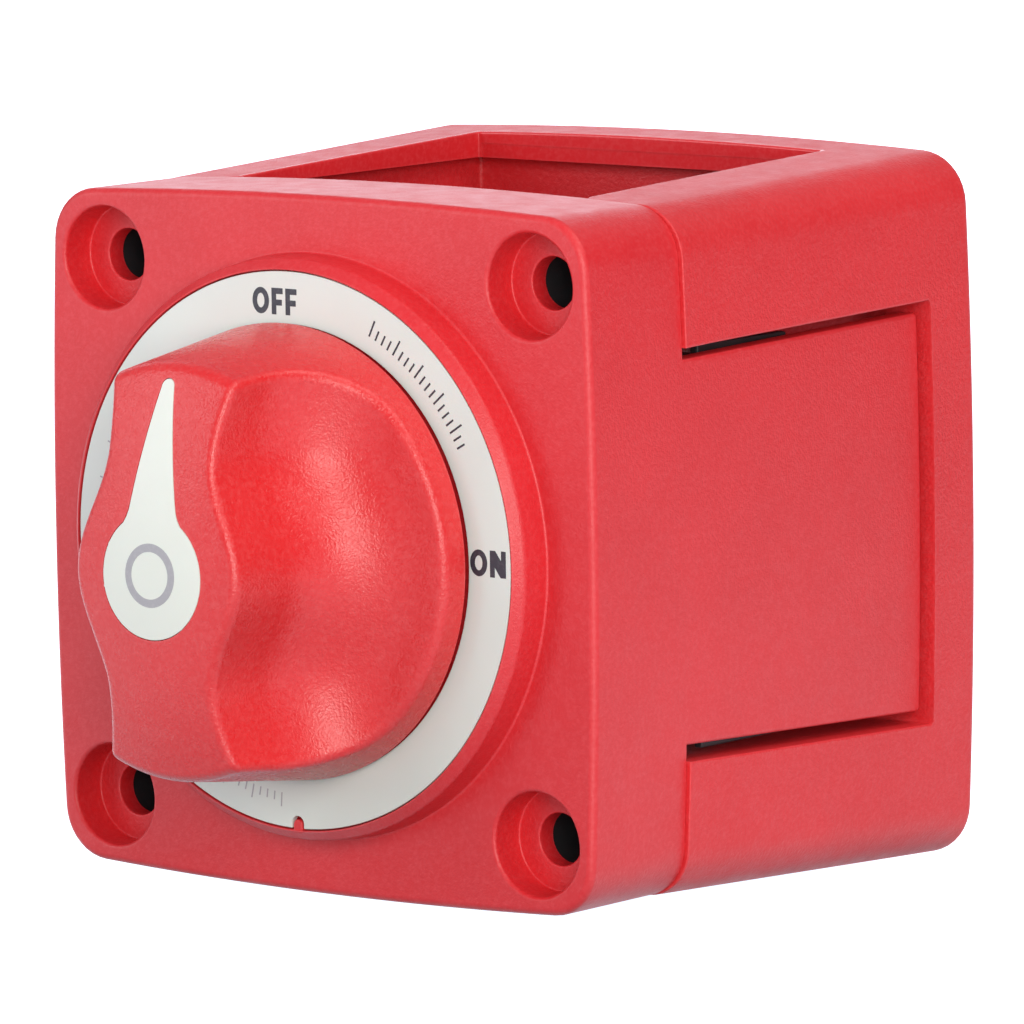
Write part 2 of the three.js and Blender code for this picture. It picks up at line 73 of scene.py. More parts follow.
# ---- dimensions, in millimetres ----
HALF = 34.65  # half of the front plate
CROWN = 1.0  # bow of each side at its middle
CORNER = 5.4
FRONT_EDGE = 0.8
FACE_WALL = 3.0
SKIRT_WALL = 2.5
SEAM = 14.6  # rear edge of the skirt
SIDE_PLATE = {"start": 8.0, "end": 52.85, "front": (19.1, 18.6), "rear": 20.15, "reach": 24,
              "wall": 2.4, "corner": 0.45, "lift": (-0.05, 0.3)}

COVER_FRONT = (35.15, 34.62)  # half its width and half its height
COVER_REAR = (36.25, 36.55)
COVER_LIP = 0.16
COVER_EDGE = 1.2
COVER_START = 14.63
CHAMBER_END = 53.6
REAR_WALL = 2.0
SLOT = 22.2  # half the width of the cable openings
RIM_STEP = (1.6, 2.3)  # the chamber is this much wider and deeper behind the rims at its mouths
RIM_REACH = 33.2  # the rims are past this height
RIM_LINE = {"reach": 34.7, "depth": 0.12}  # short of reach, the rims' rear wall is set back by depth
POCKETS = {"half": 32.9, "corner": 4.0, "rib": 1.4, "pad": 9.0, "boss": 6.6}
WINDOW = {"front": 20.2, "rear": 21.4, "end": 53.55}

HOLE_PITCH = 27.1
HOLE = 2.6
COUNTERBORE = {"radius": 5.15, "depth": 3.8, "web": 2.1}
BOSS = 6.85
BOSS_BORE = 5.75  # behind the counterbore's web

BEZEL = {"foot": 28.9, "shoulder": 28.7, "wall_top": 3.05, "rim": 27.62, "rim_top": 4.0, "seat": 2.9,
         "edge": 0.75, "fillet": 0.28}
LABEL = {"outer": 27.48, "inner": 22.35, "back": 3.2, "front": 3.88}
KEY = {"half": 0.55, "height": 1.05, "gap": 0.2, "turn": 0.6}  # turn: degrees towards the right
CHAMBER = 24.0
CHAMBER_WALL = 1.6
BORE = 9.0

KNOB = {"base": 22.5, "base_h": 4.6, "rim": 20.3, "rim_h": 21.05, "rim_drop": 0.2,
        "top": 25.02, "dome": 61.0, "dome_drop": 1.7}  # drops: below the axis, towards the tail
INSERT = {"radius": 6.15, "drop": 0.12, "depth": 0.9, "tip": 18.7, "tip_half": 0.78, "root_half": 3.18,
          "flare": 0.42, "gap": 0.07}
STUD = {"x": 13.0, "z": 15.5, "radius": 4.85, "start": 18.0, "end": 43.0, "pitch": 1.5, "tooth": 0.7,
        "chamfer": 1.2, "run_in": 1.5}
SEAT = 22.3  # where the stud washers start
BASE_SCREW = {"x": 17.5, "z": 26.0, "boss": 3.5, "hole": 1.8, "seat": 21.3, "top": 23.3}
BASE_WALL = {"start": 20.2, "end": 34.6, "half": 19.9, "inner": 30.9, "outer": 31.9}


# ---- mesh helpers ----
def add_object(name, data):
    obj = bpy.data.objects.new(name, data)
    bpy.context.scene.collection.objects.link(obj)
    return obj


def discard(obj):
    mesh = obj.data
    bpy.data.objects.remove(obj)
    bpy.data.meshes.remove(mesh)


def new_object(name, verts, faces):
    mesh = bpy.data.meshes.new(name)
    mesh.from_pydata([tuple(v) for v in verts], [], [tuple(f) for f in faces])
    bm = bmesh.new()
    bm.from_mesh(mesh)
    bmesh.ops.remove_doubles(bm, verts=bm.verts, dist=1e-4)
    bmesh.ops.recalc_face_normals(bm, faces=bm.faces)
    bm.to_mesh(mesh)
    bm.free()
    return add_object(name, mesh)


def loft(name, sections):
    """Closed skin through sections, each a list of points, all with one point count."""
    count = len(sections[0])
    verts = [p for section in sections for p in section]
    faces = [tuple(range(count)), tuple(range(len(verts) - count, len(verts)))]
    for s in range(len(sections) - 1):
        for i in range(count):
            a, b = s * count + i, s * count + (i + 1) % count
            faces.append((a, b, b + count, a + count))
    return new_object(name, verts, faces)


def along_y(outline, y):
    return [(x, y, z) for x, z in outline]


def prism(name, outline, start, end, axis="y"):
    """Outline swept along an axis: (x, z) points along y, (y, z) points along x, or (x, y) along z."""
    place = {
        "x": lambda u, v, w: (w, u, v),
        "y": lambda u, v, w: (u, w, v),
        "z": lambda u, v, w: (u, v, w),
    }[axis]
    return loft(name, [[place(u, v, w) for u, v in outline] for w in (start, end)])


def turned(name, profile, sides, centre=(0.0, 0.0), ring=False):
    """Body turned about Y from (radius, y) points; ring closes a profile that stays off the axis."""
    verts, faces = [], []
    for radius, y in profile:
        for i in range(sides):
            a = 2 * math.pi * i / sides
            verts.append((centre[0] + radius * math.cos(a), y, centre[1] + radius * math.sin(a)))
    rows = len(profile)
    for r in range(rows if ring else rows - 1):
        for i in range(sides):
            a, b = r * sides + i, r * sides + (i + 1) % sides
            up = ((r + 1) % rows - r) * sides
            faces.append((a, b, b + up, a + up))
    return new_object(name, verts, faces)


def bar(radius, y0, y1, centre=(0.0, 0.0), sides=48):
    return turned("bar", [(0, y0), (radius, y0), (radius, y1), (0, y1)], sides, centre)


def arc(cx, cy, radius, start, end, steps):
    """Points on an arc, angles in degrees."""
    angles = np.radians(np.linspace(start, end, steps + 1))
    return [(cx + radius * math.cos(a), cy + radius * math.sin(a)) for a in angles]


def settle(obj):
    """Applies the object's modifiers."""
    graph = bpy.context.evaluated_depsgraph_get()
    mesh = bpy.data.meshes.new_from_object(obj.evaluated_get(graph))
    obj.modifiers.clear()
    old, obj.data = obj.data, mesh
    bpy.data.meshes.remove(old)
    return obj


def combine(obj, tool, operation):
    change = obj.modifiers.new("combine", "BOOLEAN")
    change.solver = "EXACT"
    change.operation = operation
    change.object = tool
    settle(obj)
    discard(tool)
    return obj


def cut(obj, *tools):
    for tool in tools:
        combine(obj, tool, "DIFFERENCE")
    return obj


def join(obj, *tools):
    for tool in tools:
        combine(obj, tool, "UNION")
    return obj


def soften(obj, width, segments=3, sharp=35.0, share=None, weld=0.004):
    """Rounds the sharp edges. share gives each edge's part of the width from its midpoint."""
    bm = bmesh.new()
    bm.from_mesh(obj.data)
    bmesh.ops.remove_doubles(bm, verts=bm.verts, dist=weld)
    bmesh.ops.dissolve_limit(bm, angle_limit=math.radians(0.02), verts=bm.verts, edges=bm.edges)
    weight = bm.edges.layers.float.new("bevel_weight_edge")
    for edge in bm.edges:
        if len(edge.link_faces) == 2 and math.degrees(edge.calc_face_angle(0.0)) > sharp:
            middle = (edge.verts[0].co + edge.verts[1].co) / 2
            edge[weight] = 1.0 if share is None else share(middle)
    bm.to_mesh(obj.data)
    bm.free()
    bevel = obj.modifiers.new("round", "BEVEL")
    bevel.limit_method = "WEIGHT"
    bevel.width = width
    bevel.segments = segments
    bevel.use_clamp_overlap = False
    settle(obj)
    return shade(obj)


def shade(obj, sharp=48.0):
    """Smooth shading with flat faces kept flat, and creases left crisp."""
    mesh = obj.data
    mesh.polygons.foreach_set("use_smooth", [True] * len(mesh.polygons))
    mesh.set_sharp_from_angle(angle=math.radians(sharp))
    normals = obj.modifiers.new("normals", "WEIGHTED_NORMAL")
    normals.keep_sharp = True
    return settle(obj)


def shade_from(obj, gradient, agreement):
    """Shades each face that follows a known surface with that surface's own normals, others flat."""
    mesh = obj.data
    count = len(mesh.vertices)
    points = np.empty(count * 3)
    mesh.vertices.foreach_get("co", points)
    true = gradient(points.reshape(-1, 3))
    normals = []
    for face in mesh.polygons:
        flat = np.array(face.normal)
        for v in face.vertices:
            normals.append(true[v] if true[v] @ flat > agreement else flat)
    mesh.polygons.foreach_set("use_smooth", [True] * len(mesh.polygons))
    mesh.normals_split_custom_set([tuple(n) for n in normals])
    return obj


def finish_piece(obj, name, body, material, nodes=()):
    """Brings a finished shape into the frame and says what it rides on and stands for."""
    obj.name = name
    obj.data.name = name
    obj.data.transform(Matrix.Translation(PLATE_CENTRE) @ Matrix.Scale(MM, 4))
    obj.data.materials.clear()
    obj.data.materials.append(material)
    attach(obj, body)
    if nodes:
        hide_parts(*nodes)
    return obj


def corners(x, z):
    return [(-x, z), (x, z), (-x, -z), (x, -z)]


MOUNTINGS = corners(HOLE_PITCH, HOLE_PITCH)
STUDS = corners(STUD["x"], STUD["z"])
FIXINGS = corners(BASE_SCREW["x"], BASE_SCREW["z"])


# ---- outlines ----
def crowned(half_x, half_z, inset=0.0, corner=CORNER, side_steps=10, corner_steps=9):
    """Rounded square with bowed sides, as (x, z) points; inset draws it in by an even amount."""
    base_x, base_z = half_x - corner, half_z - corner
    x, z = base_x, base_z
    for _ in range(12):
        x, z = base_x - CROWN * (z / half_z) ** 2, base_z - CROWN * (x / half_x) ** 2
    radius = corner - inset

    def bowed(base, half, stops):
        """Points on one side, each as how far along it and how far out."""
        points = []
        for t in stops:
            slope = math.atan(2 * CROWN * t / half**2)
            points.append((t + radius * math.sin(slope),
                           base - CROWN * (t / half) ** 2 + radius * math.cos(slope)))
        return points
    quarter = [(u, v) for v, u in bowed(base_x, half_z, np.linspace(0, z, side_steps + 1))]
    start = math.degrees(math.atan(2 * CROWN * z / half_z**2))
    end = 90 - math.degrees(math.atan(2 * CROWN * x / half_x**2))
    quarter += arc(x, z, radius, start, end, corner_steps)[1:-1]
    quarter += bowed(base_z, half_x, np.linspace(x, 0, side_steps + 1))
    flip_x = [(-u, v) for u, v in reversed(quarter)]
    back = [(-u, -v) for u, v in quarter]
    flip_z = [(u, -v) for u, v in reversed(quarter)]
    return quarter[:-1] + flip_x[:-1] + back[:-1] + flip_z[:-1]


def quarter_round(radius, steps):
    """(inset, depth) pairs for a rounded edge, from the face to the side."""
    angles = np.radians(np.linspace(0, 90, steps))
    return [(radius * (1 - math.sin(a)), radius * (1 - math.cos(a))) for a in angles]


def rectangle(x0, x1, y0, y1):
    return [(x0, y0), (x1, y0), (x1, y1), (x0, y1)]


def rotated(points, degrees):
    """Points turned about the knob's axis, anticlockwise from the front."""
    a = math.radians(degrees)
    return [(x * math.cos(a) - z * math.sin(a), x * math.sin(a) + z * math.cos(a)) for x, z in points]


def key_outline():
    """The key's outline, standing on the bezel's inner wall at six o'clock."""
    half, foot = KEY["half"], -(BEZEL["rim"] + 0.3)
    shoulder = -BEZEL["rim"] + KEY["height"] - half
    outline = [(-half, foot), (half, foot)] + arc(0, shoulder, half, 0, 180, 12)
    return rotated(outline, KEY["turn"])


# ---- front housing ----
def plate_and_skirt():
    sections = [along_y(crowned(HALF, HALF, inset), y) for inset, y in quarter_round(FRONT_EDGE, 7)]
    sections.append(along_y(crowned(HALF, HALF), SEAM - 0.06))
    sections.append(along_y(crowned(HALF, HALF, 0.06), SEAM))
    shell = loft("front_housing", sections)
    hollow = [along_y(crowned(HALF, HALF, SKIRT_WALL, side_steps=4, corner_steps=4), y)
              for y in (FACE_WALL, SEAM + 1)]
    return cut(shell, loft("hollow", hollow))


def side_plate(side):
    """Thin wall that reaches back from the skirt and closes the cover's side window."""
    start, end, reach = (SIDE_PLATE[k] for k in ("start", "end", "reach"))
    inner = [(HALF - SIDE_PLATE["wall"], z) for z in (reach, -reach)]
    sunk, proud = SIDE_PLATE["lift"]
    sections = []
    for y, lift in ((start, sunk), (SEAM, sunk), (end + 1, proud)):
        outer = [(HALF + lift - CROWN * (z / HALF) ** 2, z) for z in np.linspace(-reach, reach, 17)]
        sections.append(along_y([(side * x, z) for x, z in outer + inner], y))
    slab = loft("side_plate", sections)
    corner, rear = SIDE_PLATE["corner"], SIDE_PLATE["rear"]
    upper, lower = ([(start - 0.1, front), (SEAM, front)]
                    + arc(end - corner, rear - corner, corner, 90, 0, 6) for front in SIDE_PLATE["front"])
    outline = upper + [(y, -z) for y, z in reversed(lower)]
    return combine(slab, prism("trim", outline, 20 * side, 40 * side, "x"), "INTERSECT")


def bezel():
    seat, top, rim = -BEZEL["seat"], -BEZEL["rim_top"], BEZEL["rim"]
    foot, radius, fillet = BEZEL["foot"], BEZEL["edge"], BEZEL["fillet"]
    profile = [(0, seat), (rim, seat), (rim, top + 0.12)]
    profile += [(rim + 0.04, top + 0.03), (rim + 0.13, top + 0.01)]
    profile += arc(BEZEL["shoulder"] - radius, -BEZEL["wall_top"] + 0.3, radius, -52, -4, 6)
    profile += arc(foot + fillet, -fillet, fillet, 176, 96, 5) + [(foot + fillet, 1.0), (0, 1.0)]
    return turned("bezel", profile, 180)


def front_housing(material):
    body = join(plate_and_skirt(), bezel())
    depth, end = COUNTERBORE["depth"], SEAM + 1
    wall = cut(bar(CHAMBER + CHAMBER_WALL, 1, SEAM - 0.1, sides=72), bar(CHAMBER, 0, end, sides=72))
    join(body, wall)
    for centre in MOUNTINGS:
        join(body, bar(BOSS, 1, SEAM - 0.1, centre))
    for centre in FIXINGS:
        join(body, bar(BASE_SCREW["boss"], 1, SEAM - 0.15, centre, 32))
    join(body, side_plate(-1), side_plate(1))
    cut(body, bar(CHAMBER, 0, end, sides=72), bar(BORE, -BEZEL["seat"] - 2, 1, sides=64))
    for centre in MOUNTINGS:
        cut(body, bar(COUNTERBORE["radius"], -1, depth, centre, 64), bar(HOLE, 0, end, centre),
            bar(BOSS_BORE, depth + COUNTERBORE["web"], end, centre, 40))
    for centre in FIXINGS:
        cut(body, bar(BASE_SCREW["hole"], 5, end, centre, 24))
    join(body, prism("key", key_outline(), -LABEL["front"], -BEZEL["seat"] + 0.5))

    def share(p):
        radius = math.hypot(p.x, p.z)
        if p.y < -0.05:
            return 0.2 if radius < BEZEL["rim"] - 0.1 and radius > CHAMBER else 0.0
        if p.y < 0.1:
            return 0.0 if radius < BEZEL["foot"] + 0.6 else 1.0
        if p.y > SEAM + 0.3:
            return 1.0 if abs(p.x) > HALF - 1.8 else 0.4
        return 0.45 if abs(p.y - depth) < 0.1 and radius > 30 else 0.0

    soften(body, 0.42, share=share)
    return finish_piece(body, "housing_body", "housing", material, ["front_housing"])


# ---- rear cover ----
def cover_outline(y, inset=0.0):
    grow = (y - SEAM) / (DEPTH - SEAM)
    half_x, half_z = (a + (b - a) * grow for a, b in zip(COVER_FRONT, COVER_REAR))
    return along_y(crowned(half_x, half_z, inset), y)


def cover_shell():
    sections = [cover_outline(COVER_START + y, inset) for inset, y in quarter_round(COVER_LIP, 4)]
    sections += [cover_outline(y) for y in np.linspace(COVER_START + 4, DEPTH - COVER_EDGE - 4, 5)]
    sections += [cover_outline(DEPTH - y, inset) for inset, y in quarter_round(COVER_EDGE, 8)[::-1]]
    return loft("rear_cover", sections)


def cable_slot(reach, wider=0.0, deeper=0.0):
    """Room for the cables, open at top and bottom; the larger one leaves a rim at each mouth."""
    half, end, chamfer, corner = SLOT + wider, CHAMBER_END + deeper, 0.9, 0.4
    outline = [(-half - chamfer - 1, COVER_START - 1), (half + chamfer + 1, COVER_START - 1)]
    outline += [(half, COVER_START + chamfer)] + arc(half - corner, end - corner, corner, 0, 90, 4)
    outline += arc(-half + corner, end - corner, corner, 90, 180, 4) + [(-half, COVER_START + chamfer)]
    return prism("slot", outline, -reach, reach, "z")


def side_windows():
    end, front, rear, corner = WINDOW["end"], WINDOW["front"], WINDOW["rear"], 0.35
    upper = [(COVER_START - 1, front)] + arc(end - corner, rear - corner, corner, 90, 0, 4)
    return prism("window", upper + [(y, -z) for y, z in reversed(upper)], -42, 42, "x")


def rear_pockets():
    """Coring behind the rear wall: four pockets between a rim, a cross rib and a round pad."""
    start, past = CHAMBER_END + RIM_STEP[1] + REAR_WALL, 40
    half, rib = POCKETS["half"], POCKETS["rib"]
    outline = crowned(half, half, corner=POCKETS["corner"], side_steps=5, corner_steps=6)
    pockets = prism("pockets", outline, start, DEPTH + 1)
    through = (start - 1, DEPTH + 2)
    cut(pockets, prism("rib", rectangle(-rib, rib, -past, past), *through),
        prism("rib", rectangle(-past, past, -rib, rib), *through),
        bar(POCKETS["pad"], *through, sides=64))
    for centre in MOUNTINGS:
        cut(pockets, bar(POCKETS["boss"], *through, centre))
    return pockets


def rear_cover(material):
    body = cover_shell()
    cut(body, cable_slot(42), cable_slot(RIM_REACH, *RIM_STEP), side_windows())
    line = rectangle(-SLOT + 0.4, SLOT - 0.4, CHAMBER_END - 1, CHAMBER_END + RIM_LINE["depth"])
    cut(body, prism("line", line, -RIM_LINE["reach"], RIM_LINE["reach"], "z"))
    cut(body, rear_pockets())
    for centre in MOUNTINGS:
        cut(body, bar(HOLE, COVER_START - 1, DEPTH + 1, centre, 40))

    def share(p):
        if p.y < COVER_START + 0.3:
            return 0.0
        chamber = (abs(p.x) < SLOT + RIM_STEP[0] + 0.3 and p.y < CHAMBER_END + RIM_STEP[1] + 0.3
                   and abs(p.z) < RIM_REACH + 0.4)
        stepped = abs(p.y - CHAMBER_END) < 0.3 and abs(p.z) < RIM_LINE["reach"] + 0.2
        return 0.0 if chamber or stepped else 1.0

    soften(body, 0.26, share=share)
    return finish_piece(body, "cover_body", "housing", material, ["rear_cover"])


# ---- label ring ----
def flat_shape(name, loops, back, front):
    """Flat plate with holes: loops of (x, z) points, the first the outline, between two depths."""
    bm = bmesh.new()
    edges = []
    for loop in loops:
        verts = [bm.verts.new((x, -front, z)) for x, z in loop]
        edges += [bm.edges.new((verts[i - 1], verts[i])) for i in range(len(verts))]
    bmesh.ops.triangle_fill(bm, use_beauty=True, edges=edges)
    made = bmesh.ops.extrude_face_region(bm, geom=bm.faces[:])
    moved = [g for g in made["geom"] if isinstance(g, bmesh.types.BMVert)]
    bmesh.ops.translate(bm, verts=moved, vec=(0, front - back, 0))
    bmesh.ops.recalc_face_normals(bm, faces=bm.faces)
    mesh = bpy.data.meshes.new(name)
    bm.to_mesh(mesh)
    bm.free()
    return add_object(name, mesh)


def label_ring(material):
    outer, inner = LABEL["outer"], LABEL["inner"]
    half = KEY["half"] + KEY["gap"]
    top = -outer + KEY["height"] + KEY["gap"]
    start, turn = math.degrees(math.asin(half / outer)), KEY["turn"]
    rim = arc(0, 0, outer, -90 + start + turn, 270 - start + turn, 176)
    notch = rotated(arc(0, top - half, half, 180, 0, 12), turn)
    hole = arc(0, 0, inner, 0, 360, 120)[:-1]
    ring = flat_shape("label", [rim + notch, hole], LABEL["back"], LABEL["front"])
    soften(ring, 0.07, segments=2)
    return finish_piece(ring, "label_plate", "housing", material, ["label_ring"])


# ---- lettering and scale marks ----
LETTER = {"height": 2.6, "stroke": 0.58, "gap": 0.34}
INK = 0.02
WORDS = {"mark_off": ("OFF", (-1.56, 24.5)), "mark_on": ("ON", (24.75, 0.6))}
# middle and spread in degrees clockwise from twelve, count, radius, height, stroke, ink
TICK_BANDS = {
    "scale_marks_right": (43.5, 36, 19, 24.9, 1.7, 0.2, "dark_ink"),
    "scale_marks_left": (-62, 30, 15, 24.6, 1.5, 0.14, "grey_ink"),
    "scale_marks_lower": (197, 26, 13, 24.8, 1.4, 0.14, "grey_ink"),
}


def printed(name, loops):
    return flat_shape(name, loops, LABEL["front"] - 0.01, LABEL["front"] + INK)


def letter_loops(letter):
    """Outline loops of a plain capital, and its width; the origin is its lower left corner."""
    h, s = LETTER["height"], LETTER["stroke"]
    if letter == "O":
        width = 2.1
        turn = np.linspace(0, 2 * math.pi, 41)[:-1]
        loops = [[(width / 2 + (width / 2 - inset) * math.cos(a), h / 2 + (h / 2 - inset) * math.sin(a))
                  for a in turn] for inset in (0, s)]
    elif letter == "F":
        width, middle = 1.42, 1.18
        loops = [[(0, 0), (s, 0), (s, middle - s / 2), (width - 0.12, middle - s / 2),
                  (width - 0.12, middle + s / 2), (s, middle + s / 2), (s, h - s), (width, h - s),
                  (width, h), (0, h)]]
    else:
        width = 1.95
        slant = s * 1.12
        loops = [[(0, 0), (s, 0), (s, h - 1.62), (width - slant, 0), (width, 0), (width, h),
                  (width - s, h), (width - s, 1.62), (slant, h), (0, h)]]
    return loops, width


def word(name, letters, centre, material):
    shapes = [letter_loops(letter) for letter in letters]
    length = sum(width for _, width in shapes) + LETTER["gap"] * (len(letters) - 1)
    left, foot = centre[0] - length / 2, centre[1] - LETTER["height"] / 2
    parts = []
    for loops, width in shapes:
        parts.append(printed(name, [[(left + x, foot + z) for x, z in loop] for loop in loops]))
        left += width + LETTER["gap"]
    return finish_piece(merged(parts), name, "housing", material)


def merged(parts):
    """One object from several, with no welding between them."""
    bm = bmesh.new()
    for part in parts:
        bm.from_mesh(part.data)
    first = parts[0]
    bm.to_mesh(first.data)
    bm.free()
    for part in parts[1:]:
        discard(part)
    return first


def tick_band(name, middle, spread, count, radius, height, stroke, material):
    """Short radial marks along an arc, every fourth one long."""
    parts = []
    for k in range(count):
        tall = height * (1.0 if k % 4 == 0 else 0.62)
        foot = radius - height / 2
        mark = rectangle(-stroke / 2, stroke / 2, foot, foot + tall)
        angle = middle + spread * (k / (count - 1) - 0.5)
        parts.append(printed(name, [rotated(mark, -angle)]))
    return finish_piece(merged(parts), name, "housing", material)


# ---- knob ----
GRIP = {"half": 6.85, "bulge": 3.5, "bulge_end": 11.8, "flare": (1.05, 1.5), "flare_start": 11.5,
        "flare_length": 7.5, "draft": 0.06}
FLOOR = {"height": 8.1, "at": 15.0, "slope": 0.1}
SCOOP_FILLET = 8.5
GRIP_EDGE = 0.75
RIM_EDGE = 0.8
HOLLOW = {"radius": 20.0, "height": 5.9}
HUB = {"radius": 8.6, "height": 6.5, "groove": 6.9, "groove_h": 1.5, "groove_half": 1.1}
DOME_H = KNOB["top"] - KNOB["dome"]  # height of the dome's centre
NET = 0.38  # spacing of the grid that the knob's skin is found on


def round_meet(a, b, radius):
    """Distance field of the common part of two solids, with the edge between them rounded."""
    return np.minimum(-radius, np.maximum(a, b)) + np.hypot(np.maximum(radius + a, 0),
                                                            np.maximum(radius + b, 0))


def knob_field(p):
    """Distance to the knob's surface, negative inside; p holds (x, y, z) points."""
    x, h, z = p[..., 0], -p[..., 1], p[..., 2]
    radial = np.hypot(x, z)
    rise = (h - KNOB["base_h"]) / (KNOB["rim_h"] - KNOB["base_h"])
    slope = (KNOB["base"] - KNOB["rim"]) / (KNOB["rim_h"] - KNOB["base_h"])
    cone = np.hypot(x, z + KNOB["rim_drop"] * rise) - KNOB["base"] + (KNOB["base"] - KNOB["rim"]) * rise
    cone = cone / math.hypot(1, slope)
    dome = np.sqrt(x**2 + (z + KNOB["dome_drop"]) ** 2 + (h - DOME_H) ** 2) - KNOB["dome"]
    body = np.maximum(round_meet(cone, dome, RIM_EDGE), KNOB["base_h"] - 2 - h)

    away = np.abs(z)
    inner = away < GRIP["bulge_end"]
    turn = math.pi / GRIP["bulge_end"]
    wall = GRIP["half"] + np.where(inner, GRIP["bulge"] * 0.5 * (1 + np.cos(turn * away)), 0)
    lean = np.where(inner, -GRIP["bulge"] * 0.5 * turn * np.sin(turn * away), 0)
    past = np.maximum(away - GRIP["flare_start"], 0) / GRIP["flare_length"]
    flare = np.where(z > 0, *GRIP["flare"])
    wall = wall + flare * past**2 + GRIP["draft"] * (22 - h)
    lean = lean + 2 * flare * past / GRIP["flare_length"]
    beside = (wall - np.abs(x)) / np.sqrt(1 + lean**2 + GRIP["draft"] ** 2)
    floor = FLOOR["height"] - FLOOR["slope"] * (np.abs(x) - FLOOR["at"])
    above = (floor - h) / math.hypot(1, FLOOR["slope"])
    scoop = round_meet(beside, above, SCOOP_FILLET)
    knob = round_meet(body, -scoop, GRIP_EDGE)

    under = np.maximum(radial - HOLLOW["radius"], h - HOLLOW["height"])
    knob = np.maximum(knob, -under)
    groove = np.maximum(HUB["groove"] - radial, np.abs(h - HUB["groove_h"]) - HUB["groove_half"])
    hub = np.maximum(np.maximum(radial - HUB["radius"], -h), h - HUB["height"])
    return np.minimum(knob, np.maximum(hub, -groove))


def gradient_of(field):
    step = 1e-3

    def gradient(p):
        axes = np.eye(3) * step
        slope = np.stack([field(p + a) - field(p - a) for a in axes], -1)
        return slope / np.maximum(np.linalg.norm(slope, axis=-1, keepdims=True), 1e-12)
    return gradient


def skin(name, field, low, high, spacing):
    """Quad mesh on a field's zero surface: one vertex in each grid cell that the surface crosses."""
    axes = [np.arange(a, b + spacing, spacing) for a, b in zip(low, high)]
    value = field(np.stack(np.meshgrid(*axes, indexing="ij"), -1))
    cells = tuple(n - 1 for n in value.shape)
    total, count = np.zeros((*cells, 3)), np.zeros(cells)
    crossings = []
    for axis in range(3):
        b, c = (axis + 1) % 3, (axis + 2) % 3
        v = np.moveaxis(value, (axis, b, c), (0, 1, 2))
        first, second = v[:-1], v[1:]
        cross = (first < 0) != (second < 0)
        share = np.where(cross, first / np.where(cross, first - second, 1), 0)
        grid = np.meshgrid(axes[axis][:-1], axes[b], axes[c], indexing="ij")
        point = np.zeros((*cross.shape, 3))
        point[..., axis] = grid[0] + share * spacing
        point[..., b], point[..., c] = grid[1], grid[2]
        sum_view = np.moveaxis(total, (axis, b, c), (0, 1, 2))
        count_view = np.moveaxis(count, (axis, b, c), (0, 1, 2))
        for db in (0, 1):
            for dc in (0, 1):
                part = (slice(None), slice(db, db + cells[b]), slice(dc, dc + cells[c]))
                sum_view += np.where(cross[part][..., None], point[part], 0)
                count_view += cross[part]
        i, j, k = np.nonzero(cross[:, 1:-1, 1:-1])
        flip = first[:, 1:-1, 1:-1][i, j, k] >= 0
        crossings.append((axis, b, c, i, j + 1, k + 1, flip))
    used = count > 0
    index = np.full(cells, -1)
    index[used] = np.arange(used.sum())
    verts = total[used] / count[used][:, None]
    faces = []
    for axis, b, c, i, j, k, flip in crossings:
        view = np.moveaxis(index, (axis, b, c), (0, 1, 2))
        quad = np.stack([view[i, j - 1, k - 1], view[i, j, k - 1], view[i, j, k], view[i, j - 1, k]], -1)
        quad[flip] = quad[flip][:, ::-1]
        faces.append(quad)
    gradient = gradient_of(field)
    for _ in range(4):
        verts = verts - np.clip(field(verts), -0.1, 0.1)[:, None] * gradient(verts)
    return new_object(name, verts, np.concatenate(faces))


def insert_outline(grow):
    """Disc with a straight-sided pointer, flared at its root, that reaches up to the knob's rim."""
    radius, tip, drop = INSERT["radius"] + grow, INSERT["tip_half"] + grow, INSERT["drop"]
    root = INSERT["root_half"] + INSERT["flare"] + grow
    foot = math.sqrt(radius**2 - root**2) - drop
    shoulder = INSERT["tip"] - INSERT["tip_half"]
    side = []
    for t in (0.05, 0.1, 0.18, 0.3, 0.5, 0.75, 1.0):
        flare = INSERT["flare"] * max(0.0, 1 - t / 0.12) ** 2
        side.append((root - INSERT["flare"] + (tip - root + INSERT["flare"]) * t + flare,
                     foot + (shoulder - foot) * t))
    angle = math.degrees(math.acos(root / radius))
    outline = arc(0, -drop, radius, 180 - angle, 360 + angle, 72)
    return outline + side[:-1] + arc(0, shoulder, tip, 0, 180, 14) + [(-x, z) for x, z in side[-2::-1]]


def dome_shell(lift, depth, radius):
    """Shell from lift above the knob's dome to depth below it."""
    def surface(sphere):
        return [(r, -(DOME_H + math.sqrt(sphere**2 - r**2))) for r in np.linspace(0, radius, 24)]
    top = surface(KNOB["dome"] + lift)
    bottom = surface(KNOB["dome"] - depth)
    return turned("dome", top + bottom[::-1], 110, (0.0, -KNOB["dome_drop"]))


def pointer_insert(material):
    body = prism("insert", insert_outline(0), -30, -15)
    combine(body, dome_shell(0.0, INSERT["depth"], 23), "INTERSECT")

    def outward(p):
        away = p - np.array((0, -DOME_H, -KNOB["dome_drop"]))
        return away / np.linalg.norm(away, axis=-1, keepdims=True)
    soften(body, 0.05, segments=2, weld=0.06)
    shade_from(body, outward, 0.97)
    return finish_piece(body, "knob_pointer", "knob", material, ["pointer_insert"])


def insert_mark(material):
    """Plain ring printed on the insert's disc."""
    inner, outer = 2.3, 3.1
    body = turned("mark", [(inner, 0), (inner, -INK), (outer, -INK), (outer, 0)], 64, ring=True)
    for v in body.data.vertices:
        away = math.hypot(v.co.x, v.co.z + KNOB["dome_drop"])
        v.co.y -= DOME_H + math.sqrt(KNOB["dome"] ** 2 - away**2)
    shade(body)
    return finish_piece(body, "pointer_mark", "knob", material)


